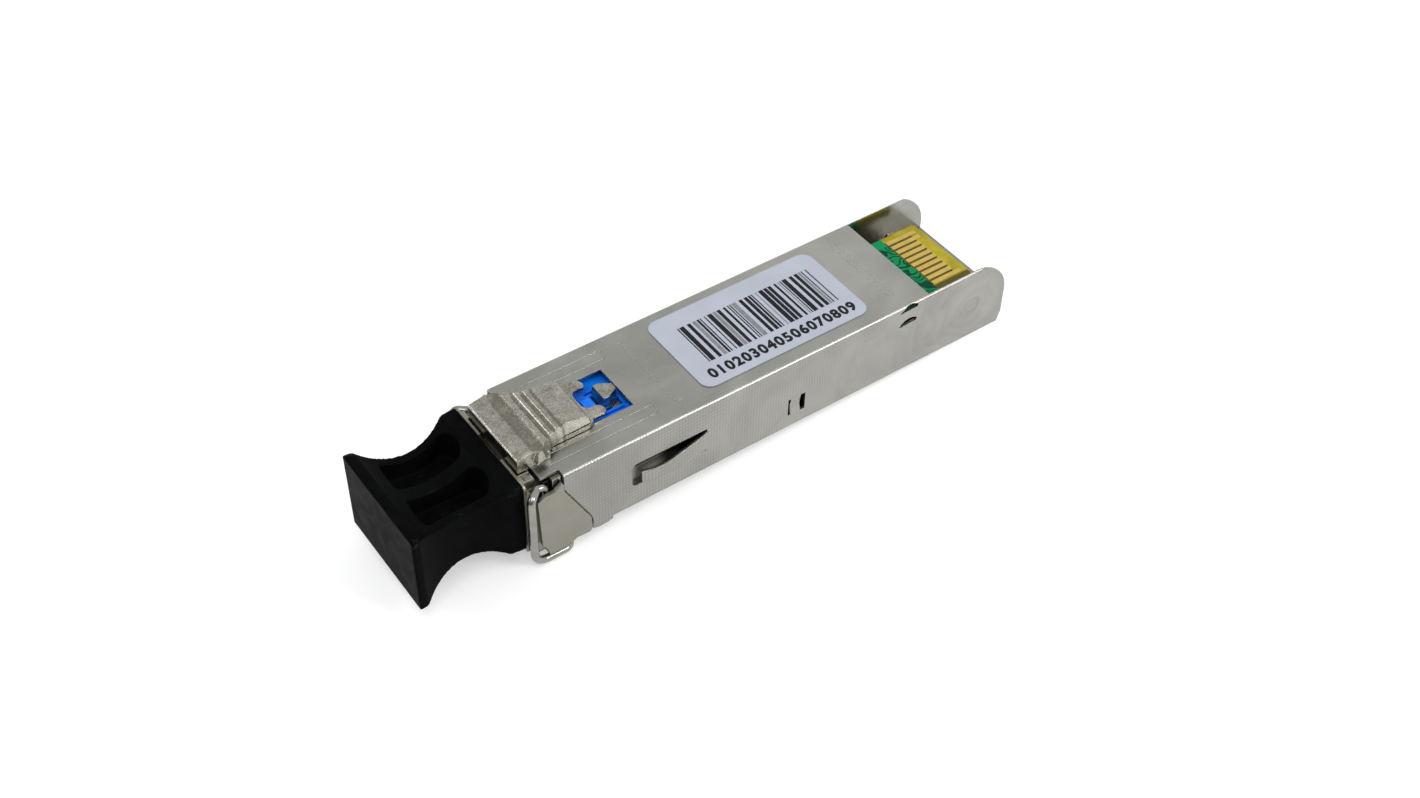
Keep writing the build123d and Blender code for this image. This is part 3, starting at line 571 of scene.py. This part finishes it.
def softened(node_name, body, voxel, smoothing, grain_depth, grain_size):
    """Replace a CAD node by a fine closed skin with rounded edges and a grained surface."""
    source = nodes[node_name].data.copy()
    work = bmesh.new()
    work.from_mesh(source)
    bmesh.ops.remove_doubles(work, verts=work.verts, dist=WELD_DISTANCE)
    work.to_mesh(source)
    work.free()
    draft = bpy.data.objects.new("draft", source)
    bpy.context.scene.collection.objects.link(draft)
    remesh = draft.modifiers.new("remesh", "REMESH")
    remesh.mode = "VOXEL"
    remesh.voxel_size = voxel
    smooth = draft.modifiers.new("smooth", "SMOOTH")
    smooth.factor = 0.5
    smooth.iterations = smoothing
    skin = baked_mesh(draft)
    skin.name = node_name + "_skin"
    # Grain: each point moves along its own normal by layered noise
    normals = [vertex.normal.copy() for vertex in skin.vertices]
    for vertex, normal in zip(skin.vertices, normals):
        lift = noise.fractal(vertex.co / grain_size, *GRAIN_LAYERS)
        vertex.co += normal * (grain_depth * lift)
    skin.shade_smooth()
    skin.materials.clear()
    skin.materials.append(MATERIALS[slot_of[node_name]])
    piece = link_piece(node_name + "_skin", skin, body)
    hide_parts(node_name)


# Node, body, voxel size, smoothing steps, grain depth and grain size
softened("latch_cover", "module", 0.055 * MM, 1, 0.004 * MM, 0.16 * MM)
softened("kickout_slide", "slide", 0.055 * MM, 1, 0.004 * MM, 0.16 * MM)
softened("latch_boss", "module", 0.045 * MM, 4, 0.008 * MM, 0.20 * MM)
softened("latch_insert", "module", 0.07 * MM, 2, 0.004 * MM, 0.40 * MM)
softened("dust_plug", "plug", 0.12 * MM, 3, 0.004 * MM, 0.50 * MM)

# ---- Label print ---------------------------------------------------------------------------
INK_THICKNESS = 0.012 * MM
INK_SINK = 0.004 * MM
INK_BOTTOM = label_high.z - INK_SINK
BARS_FRONT = label_low.x + 2.4 * MM
BARS_REAR = label_low.x + 18.0 * MM
BARS_NEAR = -2.2 * MM
BARS_FAR = 3.2 * MM
BAR_MODULE = 0.125 * MM
# In every group of this many bars, the one with this number, counted from 0, is faint
BAR_GROUP = 5
FAINT_IN_GROUP = 3
DIGITS = "010203040506070809"
DIGIT_HEIGHT = 1.25 * MM
# Height of a digit of the built-in font at size 1, roughly
FONT_DIGIT_HEIGHT = 0.73
DIGIT_BOLDNESS = 0.075 * MM
DIGIT_SPACING = 1.18
DIGITS_FRONT = label_low.x + 1.35 * MM
DIGITS_REAR = label_low.x + 18.7 * MM
DIGITS_BASE = -4.2 * MM


def printed_bars(name, bars, material):
    """Thin raised bars of ink, given as (front, rear) spans along X."""
    work = bmesh.new()
    top = INK_BOTTOM + INK_THICKNESS
    for front, rear in bars:
        ring = [(front, BARS_NEAR), (rear, BARS_NEAR), (rear, BARS_FAR), (front, BARS_FAR)]
        lower = [work.verts.new((x, y, INK_BOTTOM)) for x, y in ring]
        upper = [work.verts.new((x, y, top)) for x, y in ring]
        work.faces.new(upper)
        work.faces.new(lower[::-1])
        for i in range(4):
            j = (i + 1) % 4
            work.faces.new((lower[i], lower[j], upper[j], upper[i]))
    mesh = bpy.data.meshes.new(name)
    work.to_mesh(mesh)
    work.free()
    mesh.materials.append(material)
    link_piece(name, mesh, "module")


def bar_spans():
    """Bars of one to four modules with gaps of one to three, by a fixed repeating rule."""
    spans = []
    x = BARS_FRONT
    step = 0
    while x < BARS_REAR:
        width = (1 + (step * 7 + step // 3) % 4) * BAR_MODULE
        spans.append((x, min(x + width, BARS_REAR)))
        x += width + (1 + (step * 5 + step // 4) % 3) * BAR_MODULE
        step += 1
    return spans


spans = bar_spans()
faint_bars = spans[FAINT_IN_GROUP::BAR_GROUP]
full_bars = [span for span in spans if span not in faint_bars]
printed_bars("label_bars", full_bars, PRINT_INK)
printed_bars("label_bars_faint", faint_bars, FAINT_INK)


def printed_digits():
    """One row of plain counting digits beside the bars."""
    text = bpy.data.curves.new("label_digits", "FONT")
    text.body = DIGITS
    text.size = DIGIT_HEIGHT / FONT_DIGIT_HEIGHT
    text.offset = DIGIT_BOLDNESS
    text.space_character = DIGIT_SPACING
    text.extrude = INK_THICKNESS / 2
    text.resolution_u = 4
    draft = bpy.data.objects.new("digits_draft", text)
    bpy.context.scene.collection.objects.link(draft)
    mesh = baked_mesh(draft)
    xs = [vertex.co.x for vertex in mesh.vertices]
    stretch = (DIGITS_REAR - DIGITS_FRONT) / (max(xs) - min(xs))
    start = DIGITS_FRONT - min(xs) * stretch
    mesh.transform(Matrix.Diagonal((stretch, 1, 1, 1)))
    mesh.transform(Matrix.Translation((start, DIGITS_BASE, INK_BOTTOM + INK_THICKNESS / 2)))
    mesh.materials.clear()
    mesh.materials.append(PRINT_INK)
    link_piece("label_digits", mesh, "module")


printed_digits()

# ---- Floor, room, lights and camera --------------------------------------------------------
FLOOR_HALF = 1.2
FLOOR_CLEARANCE = 0.02 * MM
FLOOR_GLOW = 0.42
REAR_CONTACT_INSET = 0.4 * MM
WIRE_RADIUS = 0.4 * MM

# The module rests on the bail's cross wire and on the lower rear edge of its cover, so the
# floor leans a little in the module's frame.
rear_contact = Vector((shell_high.x - REAR_CONTACT_INSET, 0, 0))
front_contact = Vector((bail_high.x - WIRE_RADIUS, 0, bail_low.z))
floor_lean = math.atan2(rear_contact.z - front_contact.z, rear_contact.x - front_contact.x)

floor_mesh = bpy.data.meshes.new("floor")
signs = ((-1, -1), (1, -1), (1, 1), (-1, 1))
corners = [(sx * FLOOR_HALF, sy * FLOOR_HALF, 0) for sx, sy in signs]
floor_mesh.from_pydata(corners, [], [(0, 1, 2, 3)])
floor = bpy.data.objects.new("floor", floor_mesh)
bpy.context.scene.collection.objects.link(floor)
floor.rotation_euler = Euler((0, -floor_lean, 0))
floor.location = (rear_contact + front_contact) / 2 - Vector((0, 0, FLOOR_CLEARANCE))
floor_finish = Finish("pale_floor", ior=1.4)
cloud = floor_finish.noise(0.01, detail=2.0)
floor_finish.surface.inputs["Specular IOR Level"].default_value = 0.2
floor_finish.surface.inputs["Emission Color"].default_value = (1, 1, 1, 1)
floor_finish.surface.inputs["Emission Strength"].default_value = FLOOR_GLOW
floor_colour = floor_finish.mixed(cloud, (0.62, 0.62, 0.62), (0.64, 0.64, 0.64))
floor_mesh.materials.append(floor_finish.finish(floor_colour, 0.7, None))

scene = bpy.context.scene
scene.view_settings.view_transform = "Standard"

# The room is brightest behind the module's rear and dimmest in front of its nose
ROOM_BRIGHT_SIDE = Vector((0.80, 0.40, 0.45))
ROOM_SPAN = (-0.8, 1.0)
ROOM_STRENGTH = (0.22, 1.05)

world = bpy.data.worlds.new("studio")
world.use_nodes = True
background = world.node_tree.nodes["Background"]
background.inputs["Color"].default_value = (0.98, 0.99, 1.0, 1)
direction = world.node_tree.nodes.new("ShaderNodeTexCoord")
toward_rear = world.node_tree.nodes.new("ShaderNodeVectorMath")
toward_rear.operation = "DOT_PRODUCT"
toward_rear.inputs[1].default_value = ROOM_BRIGHT_SIDE.normalized()
room = world.node_tree.nodes.new("ShaderNodeMapRange")
room.inputs["From Min"].default_value, room.inputs["From Max"].default_value = ROOM_SPAN
room.inputs["To Min"].default_value, room.inputs["To Max"].default_value = ROOM_STRENGTH
world.node_tree.links.new(direction.outputs["Generated"], toward_rear.inputs[0])
world.node_tree.links.new(toward_rear.outputs["Value"], room.inputs["Value"])
world.node_tree.links.new(room.outputs["Result"], background.inputs["Strength"])
scene.world = world

centre = (Vector(cad_bounds[0]) + Vector(cad_bounds[1])) / 2


def soft_light(name, direction, distance, size, power):
    """A square area light aimed at the module from a direction."""
    data = bpy.data.lights.new(name, "AREA")
    data.shape = "SQUARE"
    data.size = size
    data.energy = power
    lamp = bpy.data.objects.new(name, data)
    bpy.context.scene.collection.objects.link(lamp)
    away = Vector(direction).normalized()
    lamp.location = centre + away * distance
    lamp.rotation_euler = away.to_track_quat("Z", "Y").to_euler()


soft_light("key_light", (0.42, -0.72, 0.57), 0.9, 0.28, 2.6)
soft_light("front_light", (-0.72, 0.52, 0.46), 0.9, 0.30, 1.6)
soft_light("top_light", (-0.25, -0.35, 0.95), 1.1, 0.7, 4.4)

# The camera that was fitted to the photo
VIEW_AZIMUTH = math.radians(-36.545)
VIEW_ELEVATION = math.radians(44.945)
VIEW_ROLL = math.radians(1.502)
VIEW_TARGET = Vector((11.07, -2.57, 4.0)) * MM
VIEW_DISTANCE = 173.05 * MM
SENSOR_WIDTH_MM = 36.0
FOCAL_LENGTH_MM = 45.88
NEAREST_SEEN = 0.005

view = Vector((
    -math.sin(VIEW_AZIMUTH) * math.cos(VIEW_ELEVATION),
    math.cos(VIEW_AZIMUTH) * math.cos(VIEW_ELEVATION),
    -math.sin(VIEW_ELEVATION),
))
level = view.cross(Vector((0, 0, 1))).normalized()
upright = level.cross(view)
right = math.cos(VIEW_ROLL) * level + math.sin(VIEW_ROLL) * upright
up = math.cos(VIEW_ROLL) * upright - math.sin(VIEW_ROLL) * level
camera_data = bpy.data.cameras.new("camera")
camera_data.sensor_width = SENSOR_WIDTH_MM
camera_data.lens = FOCAL_LENGTH_MM
camera_data.clip_start = NEAREST_SEEN
camera = bpy.data.objects.new("camera", camera_data)
scene.collection.objects.link(camera)
turned = Matrix((right, up, -view)).transposed().to_4x4()
camera.matrix_world = Matrix.Translation(VIEW_TARGET - view * VIEW_DISTANCE) @ turned
scene.camera = camera
